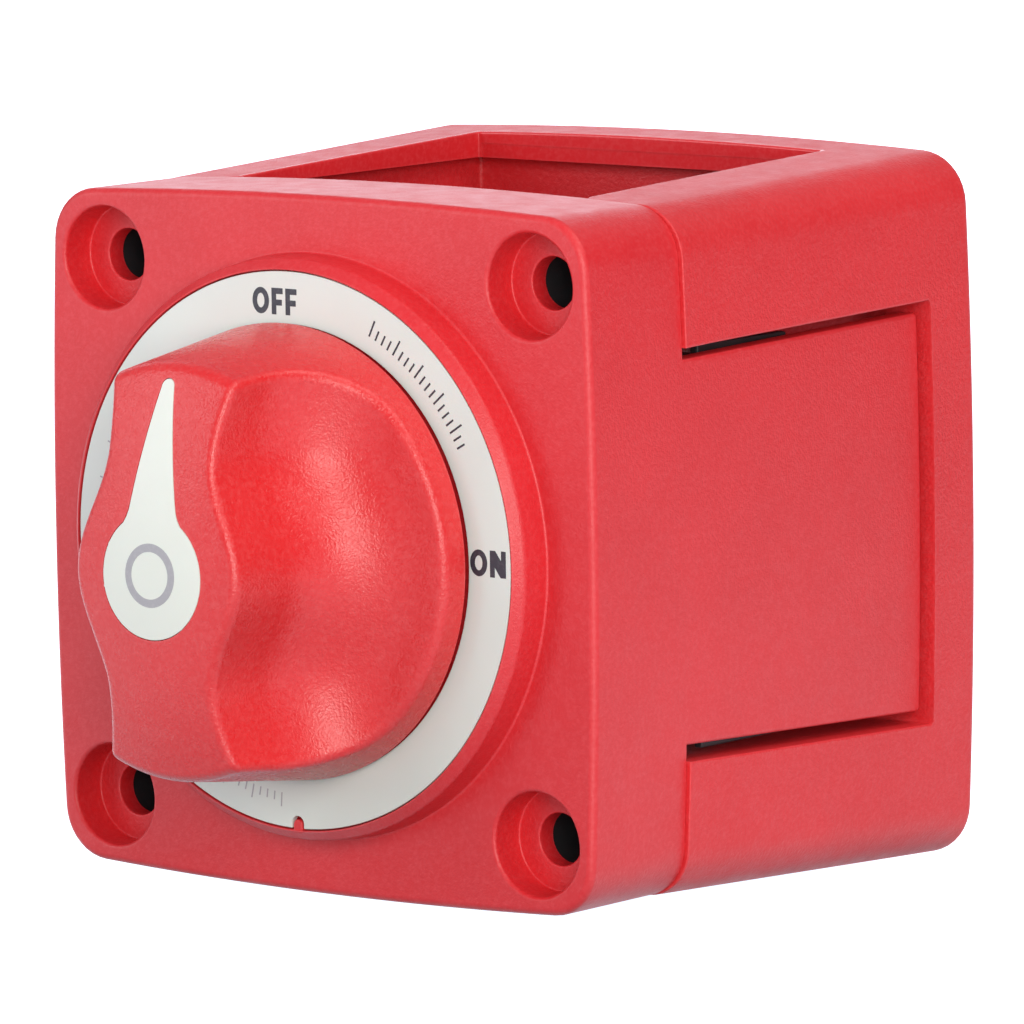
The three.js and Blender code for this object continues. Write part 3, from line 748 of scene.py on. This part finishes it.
def knob(material):
    reach = KNOB["base"] + 1.0
    body = skin("knob", knob_field, (-reach, -KNOB["top"] - 0.7, -reach), (reach, 0.7, reach), NET)
    foot, inner = -KNOB["base_h"], 9.3
    cut(body, turned("below", [(inner, foot), (30, foot), (30, 3), (inner, 3)], 180, ring=True))
    pocket = prism("pocket", insert_outline(INSERT["gap"]), -30, -15)
    combine(pocket, dome_shell(2.0, INSERT["depth"] + 0.1, 24), "INTERSECT")
    cut(body, pocket)
    shade_from(body, gradient_of(knob_field), 0.75)
    return finish_piece(body, "knob_body", "knob", material, ["knob"])


# ---- fastenings and base ----
def stud(index, centre, material):
    """Square-headed stud with a rolled thread and a chamfered end."""
    x, z = centre
    start, end, radius, pitch = (STUD[k] for k in ("start", "end", "radius", "pitch"))
    sides, rows_per_turn = 32, 6
    rows = int((end - start) / pitch * rows_per_turn)
    verts, faces = [(x, start, z)], []
    for row in range(rows + 1):
        y = start + (end - start) * row / rows
        for i in range(sides):
            a = 2 * math.pi * i / sides
            phase = ((y - start) / pitch - i / sides) % 1.0
            groove = STUD["tooth"] * abs(2 * phase - 1) ** 1.3
            taper = max(0.0, y - (end - STUD["chamfer"])) * 0.8
            run_in = min(1.0, (y - start) / STUD["run_in"])
            r = min(radius - groove * run_in, radius - taper)
            verts.append((x + r * math.cos(a), y, z + r * math.sin(a)))
    for row in range(rows):
        for i in range(sides):
            a, b = 1 + row * sides + i, 1 + row * sides + (i + 1) % sides
            faces.append((a, b, b + sides, a + sides))
    last = 1 + rows * sides
    verts.append((x, end, z))
    for i in range(sides):
        faces.append((0, 1 + (i + 1) % sides, 1 + i))
        faces.append((len(verts) - 1, last + i, last + (i + 1) % sides))
    shank = new_object("stud", verts, faces)
    shade(shank, 60)
    lo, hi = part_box(f"stud_{index}")
    front = (lo.y - PLATE_CENTRE.y) / MM
    size = (hi.x - lo.x) / MM / 2
    head = prism("head", rectangle(x - size, x + size, z - size, z + size), front, start + 0.05)
    soften(head, 0.4)
    return finish_piece(merged([shank, head]), f"terminal_stud_{index}", "housing", material,
                        [f"stud_{index}"])


def washer(index, centre, material):
    r, y1, gap = 0.3, SEAT + 1.6, 0.3
    inner, outer = STUD["radius"] + gap + r, 8.4 - r
    profile = arc(outer, SEAT + r, r, -90, 0, 4) + arc(outer, y1 - r, r, 0, 90, 4)
    profile += arc(inner, y1 - r, r, 90, 180, 4) + arc(inner, SEAT + r, r, 180, 270, 4)
    body = turned("washer", profile, 72, centre, ring=True)
    shade(body)
    return finish_piece(body, f"terminal_washer_{index}", "housing", material,
                        [f"stud_washer_{index}"])


def nut(index, centre, material):
    """Hexagon nut, chamfered at both faces, with a countersunk bore."""
    x, z = centre
    y0, y1, radius, face, corner, chamfer = SEAT + 1.9, SEAT + 8.9, 9.2, 7.9, 9.3, 0.75
    angles = [math.pi / 6 + 0.35 * index + k * math.pi / 3 for k in range(6)]
    body = prism("nut", [(x + radius * math.cos(a), z + radius * math.sin(a)) for a in angles], y0, y1)
    profile = [(0, y0), (face, y0), (corner, y0 + chamfer), (corner, y1 - chamfer), (face, y1), (0, y1)]
    combine(body, turned("chamfer", profile, 72, centre), "INTERSECT")
    bore = STUD["radius"] + 0.12
    wide = bore + 1.5
    sink = [(0, y0 - 1), (wide, y0 - 1), (bore, y0 + 0.5), (bore, y1 - 0.5), (wide, y1 + 1), (0, y1 + 1)]
    cut(body, turned("bore", sink, 48, centre))
    soften(body, 0.12, segments=2, sharp=20)
    return finish_piece(body, f"terminal_nut_{index}", "housing", material,
                        [f"stud_nut_{index}"])


def base_screw(index, centre, material):
    """Pan-head screw with a cross recess."""
    x, z = centre
    seat, top = BASE_SCREW["seat"], BASE_SCREW["top"]
    profile = [(0, 6.0), (0.9, 6.2), (1.5, 7.4), (1.5, seat), (2.75, seat), (2.9, seat + 0.2)]
    profile += [(2.9, top - 0.9), (2.7, top - 0.4), (2.2, top - 0.08), (1.6, top), (0, top)]
    body = turned("screw", profile, 40, centre)
    for u, v in ((1.5, 0.32), (0.32, 1.5)):
        cut(body, prism("recess", rectangle(x - u, x + u, z - v, z + v), top - 1.0, top + 1))
    shade(body, 40)
    return finish_piece(body, f"base_fixing_{index}", "housing", material,
                        [f"base_screw_{index}"])


def terminal_base(material):
    """The base's own shape with its edges rounded, and its side walls."""
    mesh = frame["nodes"]["contact_base"].data.copy()
    mesh.transform(Matrix.Scale(1 / MM, 4) @ Matrix.Translation(-PLATE_CENTRE))
    parts = [soften(add_object("base", mesh), 0.3, segments=2)]
    outline = rectangle(BASE_WALL["start"], BASE_WALL["end"], -BASE_WALL["half"], BASE_WALL["half"])
    for side in (-1, 1):
        wall = prism("wall", outline, side * BASE_WALL["inner"], side * BASE_WALL["outer"], "x")
        parts.append(soften(wall, 0.2, segments=2))
    return finish_piece(merged(parts), "terminal_base", "housing", material,
                        ["contact_base"])


def screw_sleeve(index, centre, material):
    """Black sleeve that fills a mounting boss behind its counterbore."""
    inner, gap = 3.2, 0.1
    outer = BOSS_BORE - gap
    front, back = COUNTERBORE["depth"] + COUNTERBORE["web"] + gap, SEAM - gap
    profile = [(inner, front), (outer, front), (outer, back), (inner, back)]
    body = turned("sleeve", profile, 48, centre, ring=True)
    soften(body, 0.2, segments=2)
    return finish_piece(body, f"screw_sleeve_{index}", "housing", material)


# ---- materials ----
class Graph:
    """A material's node tree, with short calls for the nodes used here."""

    def __init__(self, name):
        self.material = bpy.data.materials.new(name)
        self.material.use_nodes = True
        self.tree = self.material.node_tree
        self.shader = self.tree.nodes["Principled BSDF"]
        self.coords = self.tree.nodes.new("ShaderNodeTexCoord").outputs["Object"]

    def link(self, out, socket):
        self.tree.links.new(out, socket)

    def node(self, kind, **values):
        made = self.tree.nodes.new(kind)
        for key, value in values.items():
            setattr(made, key, value)
        return made

    def noise(self, size, detail=2.0, roughness=0.5, stretch=None):
        """Noise whose features are about size millimetres across."""
        made = self.node("ShaderNodeTexNoise")
        made.inputs["Scale"].default_value = 1 / (size * MM)
        made.inputs["Detail"].default_value = detail
        made.inputs["Roughness"].default_value = roughness
        source = self.coords
        if stretch:
            place = self.node("ShaderNodeMapping")
            place.inputs["Scale"].default_value = stretch
            self.link(source, place.inputs["Vector"])
            source = place.outputs["Vector"]
        self.link(source, made.inputs["Vector"])
        return made.outputs["Fac"]

    def ramp(self, source, low, high, start=0.3, end=0.7):
        """Maps a value from start..end to low..high, held at the ends."""
        made = self.node("ShaderNodeMapRange")
        for socket, value in (("From Min", start), ("From Max", end), ("To Min", low), ("To Max", high)):
            made.inputs[socket].default_value = value
        self.link(source, made.inputs["Value"])
        return made.outputs["Result"]

    def mix(self, factor, first, second):
        """Colour mix; each colour is a tuple or a socket."""
        made = self.node("ShaderNodeMix", data_type="RGBA")
        self.link(factor, made.inputs[0])
        for socket, colour in ((made.inputs[6], first), (made.inputs[7], second)):
            if isinstance(colour, tuple):
                socket.default_value = (*colour, 1)
            else:
                self.link(colour, socket)
        return made.outputs[2]

    def edges(self, radius):
        """Near 1 on edges narrower than the radius, 0 on open faces."""
        bevel = self.node("ShaderNodeBevel", samples=4)
        bevel.inputs["Radius"].default_value = radius * MM
        surface = self.node("ShaderNodeNewGeometry")
        dot = self.node("ShaderNodeVectorMath", operation="DOT_PRODUCT")
        self.link(bevel.outputs["Normal"], dot.inputs[0])
        self.link(surface.outputs["Normal"], dot.inputs[1])
        return self.ramp(dot.outputs["Value"], 1.0, 0.0, 0.86, 0.99)

    def within(self, half_x, end_y, past_z):
        """1 where |x| and y are under their limits and |z| is past its own, else 0; all in metres."""
        split = self.node("ShaderNodeSeparateXYZ")
        self.link(self.coords, split.inputs["Vector"])
        x, y, z = split.outputs
        beside = self.maths("LESS_THAN", self.maths("ABSOLUTE", x), half_x)
        before = self.maths("LESS_THAN", y, end_y)
        past = self.maths("GREATER_THAN", self.maths("ABSOLUTE", z), past_z)
        return self.maths("MULTIPLY", self.maths("MULTIPLY", beside, before), past)

    def blend(self, factor, first, second):
        """Moves from the first value, a socket, to the second, a number."""
        made = self.node("ShaderNodeMix", data_type="FLOAT")
        self.link(factor, made.inputs[0])
        self.link(first, made.inputs[2])
        made.inputs[3].default_value = second
        return made.outputs[0]

    def maths(self, operation, *values):
        made = self.node("ShaderNodeMath", operation=operation)
        for socket, value in zip(made.inputs, values):
            if isinstance(value, float):
                socket.default_value = value
            else:
                self.link(value, socket)
        return made.outputs[0]

    def bump(self, height, depth, strength=1.0, under=None):
        """Bump of the given depth in millimetres, laid over another bump if one is given."""
        made = self.node("ShaderNodeBump")
        made.inputs["Strength"].default_value = strength
        made.inputs["Distance"].default_value = depth * MM
        self.link(height, made.inputs["Height"])
        if under is not None:
            self.link(under, made.inputs["Normal"])
        return made.outputs["Normal"]

    def finish(self, colour, roughness, normal, **constants):
        self.link(colour, self.shader.inputs["Base Color"])
        self.link(roughness, self.shader.inputs["Roughness"])
        self.link(normal, self.shader.inputs["Normal"])
        for key, value in constants.items():
            self.shader.inputs[key.replace("_", " ")].default_value = value
        return self.material


def red_plastic(name, grain, grain_depth, roughness, light, deep, pale_red, polished=None):
    """Moulded red plastic: fine spark-eroded grain, cloudy pigment, and edges painted paler, partly as
    wear and partly as a painted highlight.
    polished gives within's limits for the region where the mould left no grain."""
    g = Graph(name)
    cloud = g.ramp(g.noise(14, 3.0), 0, 1, 0.32, 0.68)
    speck = g.ramp(g.noise(0.5), 0, 1, 0.42, 0.72)
    colour = g.mix(cloud, light, deep)
    colour = g.mix(g.ramp(speck, 0, 0.22, 0, 1), colour, pale_red)
    # Edges turn paler: partly wear, partly a painted highlight along each edge.
    edge_wear_and_highlight = g.maths("MULTIPLY", g.edges(0.45), g.ramp(g.noise(3.5, 3.0), 0.08, 0.5, 0.35, 0.65))
    colour = g.mix(edge_wear_and_highlight, colour, pale_red)
    rough = g.ramp(g.noise(2.2, 4.0), roughness - 0.04, roughness + 0.05)
    height = g.noise(grain, 2.0, 0.6)
    if polished:
        smooth = g.within(*polished)
        rough = g.blend(smooth, rough, 0.2)
        height = g.blend(smooth, height, 0.5)
    fine = g.bump(height, grain_depth)
    normal = g.bump(g.noise(9), 0.02, 0.6, fine)
    return g.finish(colour, rough, normal, Subsurface_Weight=0.06, Subsurface_Scale=0.6 * MM,
                    Subsurface_Radius=(1.0, 0.25, 0.2), IOR=1.5)


def pale_plastic(name, light, deep, roughness):
    g = Graph(name)
    colour = g.mix(g.ramp(g.noise(9, 4.0), 0, 1, 0.3, 0.7), light, deep)
    rough = g.ramp(g.noise(1.5, 4.0), roughness - 0.05, roughness + 0.06)
    normal = g.bump(g.noise(0.35), 0.006)
    return g.finish(colour, rough, normal, Subsurface_Weight=0.05, Subsurface_Scale=0.4 * MM, IOR=1.49)


def ink(name, dark, thin):
    """Pad-printed ink, a little uneven where it is thin."""
    g = Graph(name)
    colour = g.mix(g.ramp(g.noise(0.4, 3.0), 0, 0.55, 0.5, 0.8), dark, thin)
    rough = g.ramp(g.noise(0.8), 0.38, 0.5)
    return g.finish(colour, rough, g.bump(g.noise(0.25), 0.002))


def dark_plastic(name, base, spread, roughness):
    g = Graph(name)
    colour = g.mix(g.ramp(g.noise(5, 4.0), 0, 1), base, spread)
    # Edges turn a paler grey: partly wear, partly a painted highlight along each edge.
    edge_wear_and_highlight = tuple(3 * c + 0.02 for c in spread)
    colour = g.mix(g.ramp(g.edges(0.3), 0, 0.5, 0, 1), colour, edge_wear_and_highlight)
    rough = g.ramp(g.noise(1.2, 3.0), roughness - 0.07, roughness + 0.07)
    return g.finish(colour, rough, g.bump(g.noise(0.4), 0.012))


def metal(name, bright, dull, roughness, stretch):
    """Bare or plated metal with drawn scratches and faint tarnish."""
    g = Graph(name)
    colour = g.mix(g.ramp(g.noise(3.5, 5.0), 0, 1, 0.35, 0.7), bright, dull)
    scratches = g.noise(0.35, 3.0, 0.6, stretch)
    rough = g.ramp(scratches, roughness - 0.08, roughness + 0.14)
    normal = g.bump(scratches, 0.006)
    return g.finish(colour, rough, normal, Metallic=1.0)


def build_materials():
    # The pale reds tint random specks in the grain and the paler edges, which are partly wear and partly
    # a painted highlight.
    turned_marks, drawn_marks, pale_red = (1, 6, 1), (6, 1, 6), (0.82, 0.10, 0.11)
    rim_walls = ((SLOT + 0.3) * MM, PLATE_CENTRE.y + (CHAMBER_END + 0.3) * MM, (RIM_REACH - 0.1) * MM)
    return {
        "housing": red_plastic("moulded_red_housing", grain=0.28, grain_depth=0.05, roughness=0.42,
                               light=(0.72, 0.022, 0.030), deep=(0.67, 0.018, 0.025), pale_red=pale_red),
        "cover": red_plastic("moulded_red_cover", grain=0.34, grain_depth=0.09, roughness=0.48,
                             light=(0.72, 0.022, 0.029), deep=(0.67, 0.018, 0.024), pale_red=pale_red,
                             polished=rim_walls),
        "knob": red_plastic("moulded_red_knob", grain=0.26, grain_depth=0.07, roughness=0.27,
                            light=(0.75, 0.022, 0.026), deep=(0.70, 0.018, 0.021),
                            pale_red=(0.88, 0.14, 0.14)),
        "label": pale_plastic("label_white_plastic", (0.77, 0.84, 0.79), (0.74, 0.81, 0.76), 0.42),
        "insert": pale_plastic("insert_white_plastic", (0.81, 0.84, 0.77), (0.78, 0.81, 0.74), 0.34),
        "dark_ink": ink("dark_ink", (0.028, 0.030, 0.042), (0.10, 0.10, 0.12)),
        "grey_ink": ink("grey_ink", (0.40, 0.39, 0.42), (0.50, 0.49, 0.51)),
        "mechanism": dark_plastic("black_glass_filled_plastic", (0.020, 0.021, 0.024),
                                  (0.034, 0.035, 0.039), 0.5),
        "seal": dark_plastic("black_rubber", (0.012, 0.012, 0.012), (0.022, 0.022, 0.022), 0.75),
        "copper": metal("rolled_copper", (0.60, 0.27, 0.14), (0.40, 0.19, 0.11), 0.36, turned_marks),
        "tin": metal("tinned_copper", (0.60, 0.59, 0.56), (0.44, 0.43, 0.41), 0.34, turned_marks),
        "steel": metal("stainless_steel", (0.62, 0.62, 0.63), (0.48, 0.48, 0.49), 0.28, drawn_marks),
    }


HIDDEN_NODES = {
    "seal": ["shaft_seal"],
    "mechanism": ["rotor", "contact_carrier"],
    "copper": ["contact_bridge_left", "contact_bridge_right"],
    "steel": ["rotor_screw"] + [f"{part}_{end}" for end in ("upper", "lower")
                                for part in ("detent_ball", "detent_spring", "bridge_spring_left",
                                             "bridge_spring_right")],
}


def dress_cad_nodes(materials):
    for kind, nodes in HIDDEN_NODES.items():
        for node in nodes:
            mesh = frame["nodes"][node].data
            mesh.materials.clear()
            mesh.materials.append(materials[kind])


# ---- stage, light and camera ----
CAMERA = {"place": (543.008, -645.166, 112.823), "azimuth": 38.78, "elevation": 7.38, "roll": -0.78,
          "lens": 304.66, "shift": (0.0002, -0.0046)}


def camera():
    az, el, roll = (math.radians(CAMERA[k]) for k in ("azimuth", "elevation", "roll"))
    forward = Vector((-math.sin(az) * math.cos(el), math.cos(az) * math.cos(el), -math.sin(el)))
    level = Vector((math.cos(az), math.sin(az), 0))
    upright = level.cross(forward)
    right = math.cos(roll) * level + math.sin(roll) * upright
    up = right.cross(forward)
    data = bpy.data.cameras.new("camera")
    data.lens, data.sensor_width = CAMERA["lens"], 36
    data.shift_x, data.shift_y = CAMERA["shift"]
    data.clip_start, data.clip_end = 0.05, 50
    obj = add_object("camera", data)
    turn = Matrix((right, up, -forward)).transposed().to_4x4()
    obj.matrix_world = Matrix.Translation(PLATE_CENTRE + Vector(CAMERA["place"]) * MM) @ turn
    bpy.context.scene.camera = obj


def softbox(name, place, size, power, colour):
    """Area light, width by height, aimed at the object; place in metres about the plate's centre."""
    data = bpy.data.lights.new(name, "AREA")
    data.shape, data.energy, data.color = "RECTANGLE", power, colour
    data.size, data.size_y = size
    obj = add_object(name, data)
    obj.location = PLATE_CENTRE + Vector(place)
    obj.rotation_mode = "QUATERNION"
    obj.rotation_quaternion = (-Vector(place)).to_track_quat("-Z", "Y")


def sheet(name, outline):
    """One flat face in the frame, in metres."""
    mesh = bpy.data.meshes.new(name)
    mesh.from_pydata(outline, [], [(0, 1, 2, 3)])
    return add_object(name, mesh)


def flag(name, outline):
    """Dark card, unseen by the camera, that keeps light off one side."""
    card = sheet(name, outline)
    card.visible_camera = False
    g = Graph(name)
    colour = g.mix(g.ramp(g.noise(30), 0, 1), (0.03, 0.03, 0.03), (0.04, 0.04, 0.04))
    card.data.materials.append(g.finish(colour, g.ramp(g.noise(20), 0.85, 0.95),
                                        g.bump(g.noise(3), 0.05)))
    return card


def stage():
    size, (low, high) = 6.0, CAD_BOX
    top = low.z
    floor = sheet("floor", [(x, y, top) for x, y in rectangle(-size, size, -size, size)])
    g = Graph("pale_floor")
    colour = g.mix(g.ramp(g.noise(400), 0, 1), (0.55, 0.55, 0.55), (0.53, 0.53, 0.53))
    floor.data.materials.append(g.finish(colour, g.ramp(g.noise(60), 0.7, 0.8),
                                         g.bump(g.noise(2), 0.01), Specular_IOR_Level=0.2,
                                         Emission_Color=(0.94, 0.96, 1.08, 1), Emission_Strength=1.15))
    floor.visible_diffuse = False  # the set's own light stays even from top to bottom

    world = bpy.data.worlds.new("studio")
    bpy.context.scene.world = world
    world.use_nodes = True
    background = world.node_tree.nodes["Background"]
    warm, cool = (1.0, 0.97, 0.91), (0.95, 0.97, 1.06)
    background.inputs["Color"].default_value = (*cool, 1)
    background.inputs["Strength"].default_value = 0.42
    softbox("key", (0.80, -0.74, 0.26), (0.6, 0.6), 8.4, warm)
    softbox("fill", (-0.80, -0.90, 0.42), (0.7, 0.7), 4.2, (0.97, 0.98, 1.02))
    softbox("side", (0.70, 0.10, 1.05), (0.7, 0.7), 5.5, warm)
    softbox("back", (-0.75, 0.93, 0.36), (0.9, 0.6), 3.0, cool)
    x, y, width, height = 0.30, PLATE_CENTRE.y + 0.33, 0.18, 0.45
    flag("flag_right", [(x - u, y + u, z) for u, z in rectangle(-width, width, top, top + height)])
    near = PLATE_CENTRE.y - 0.07
    below = flag("flag_below", [(x, y, top + MM) for x, y in rectangle(low.x, high.x, near, high.y)])
    below.visible_glossy = False
    bpy.context.scene.view_settings.view_transform = "Standard"


# ---- assembly ----
def build():
    paint = build_materials()
    front_housing(paint["housing"])
    rear_cover(paint["cover"])
    label_ring(paint["label"])
    for name, (letters, centre) in WORDS.items():
        word(name, letters, centre, paint["dark_ink"])
    for name, (*numbers, ink_name) in TICK_BANDS.items():
        tick_band(name, *numbers, paint[ink_name])
    knob(paint["knob"])
    pointer_insert(paint["insert"])
    insert_mark(paint["grey_ink"])
    for i, centre in enumerate(STUDS, start=1):
        stud(i, centre, paint["tin"])
        washer(i, centre, paint["steel"])
        nut(i, centre, paint["steel"])
    for i, centre in enumerate(FIXINGS, start=1):
        base_screw(i, centre, paint["steel"])
    terminal_base(paint["mechanism"])
    for i, centre in enumerate(MOUNTINGS, start=1):
        screw_sleeve(i, centre, paint["mechanism"])
    dress_cad_nodes(paint)


build()
camera()
stage()
